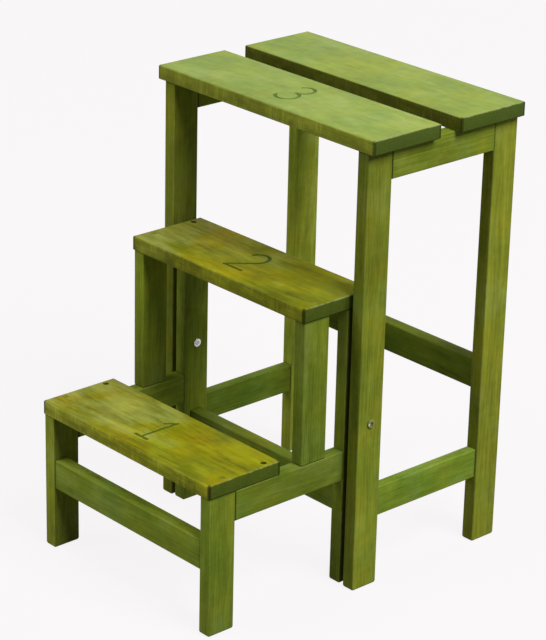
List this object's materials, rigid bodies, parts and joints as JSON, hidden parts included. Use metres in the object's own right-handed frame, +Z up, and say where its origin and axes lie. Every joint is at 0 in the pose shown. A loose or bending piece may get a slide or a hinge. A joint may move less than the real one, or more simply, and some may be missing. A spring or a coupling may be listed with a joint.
{
  "type": "folding step stool chair",
  "caption": "Folding wooden step stool chair: a slatted seat on a tall frame, with a lower step unit that pivots on side bolts and swings over to nest inside the frame.",
  "frame": {"origin": "on the floor under the middle of the whole stool as it stands open, midway between the front edge of the lower step and the rear edge of the seat", "axes": "+X to the right across the stool, +Y from the lower step at the front towards the rear legs, +Z up"},
  "size_m": [0.424, 0.5066, 0.64],
  "materials": {
    "seat_wood": "light green translucent stain, satin",
    "step_wood": "olive green translucent stain, satin",
    "frame_wood": "deep green translucent stain, satin",
    "dowel_wood": "bare beech, fluted",
    "bolt_steel": "nickel plated",
    "screw_steel": "dark phosphated",
    "spacer_nylon": "black nylon"
  },
  "bodies": {
    "seat_frame": {"frame_leg_front_left": "frame_wood", "frame_leg_front_right": "frame_wood", "frame_leg_rear_left": "frame_wood", "frame_leg_rear_right": "frame_wood", "seat_board_front": "seat_wood", "seat_board_rear": "seat_wood", "seat_apron_left": "frame_wood", "seat_apron_right": "frame_wood", "frame_side_rail_left": "frame_wood", "frame_side_rail_right": "frame_wood", "frame_rear_rail": "frame_wood", "frame_rail_dowel_left": "dowel_wood", "frame_rail_dowel_right": "dowel_wood", "seat_screw_front_board_outer_left": "screw_steel", "seat_screw_front_board_outer_right": "screw_steel", "seat_screw_front_board_inner_left": "screw_steel", "seat_screw_front_board_inner_right": "screw_steel", "seat_screw_rear_board_inner_left": "screw_steel", "seat_screw_rear_board_inner_right": "screw_steel", "seat_screw_rear_board_outer_left": "screw_steel", "seat_screw_rear_board_outer_right": "screw_steel", "pivot_bolt_left": "bolt_steel", "pivot_bolt_right": "bolt_steel", "pivot_cap_nut_left": "bolt_steel", "pivot_cap_nut_right": "bolt_steel", "pivot_spacer_left": "spacer_nylon", "pivot_spacer_right": "spacer_nylon"},
    "step_unit": {"step_board_lower": "step_wood", "step_board_upper": "step_wood", "step_leg_front_left": "frame_wood", "step_leg_front_right": "frame_wood", "step_leg_rear_left": "frame_wood", "step_leg_rear_right": "frame_wood", "step_post_left": "frame_wood", "step_post_right": "frame_wood", "step_side_rail_left": "frame_wood", "step_side_rail_right": "frame_wood", "step_front_stretcher": "frame_wood", "step_rear_rail": "frame_wood", "step_upper_apron": "frame_wood", "stretcher_dowel_left": "dowel_wood", "stretcher_dowel_right": "dowel_wood", "step_rail_dowel_left": "dowel_wood", "step_rail_dowel_right": "dowel_wood", "upper_apron_dowel_left": "dowel_wood", "upper_apron_dowel_right": "dowel_wood", "post_dowel_left": "dowel_wood", "post_dowel_right": "dowel_wood", "lower_step_screw_front_left": "screw_steel", "lower_step_screw_front_right": "screw_steel", "lower_step_screw_rear_left": "screw_steel", "lower_step_screw_rear_right": "screw_steel", "upper_step_screw_front_left": "screw_steel", "upper_step_screw_front_right": "screw_steel", "upper_step_screw_rear_left": "screw_steel", "upper_step_screw_rear_right": "screw_steel"}
  },
  "joints": [
    {"name": "step_fold", "type": "hinge", "parent": "seat_frame", "child": "step_unit", "pos_m": [0, 0.0015, 0.243], "axis": [-1, 0, 0], "range_deg": [0, 180]}
  ]
}
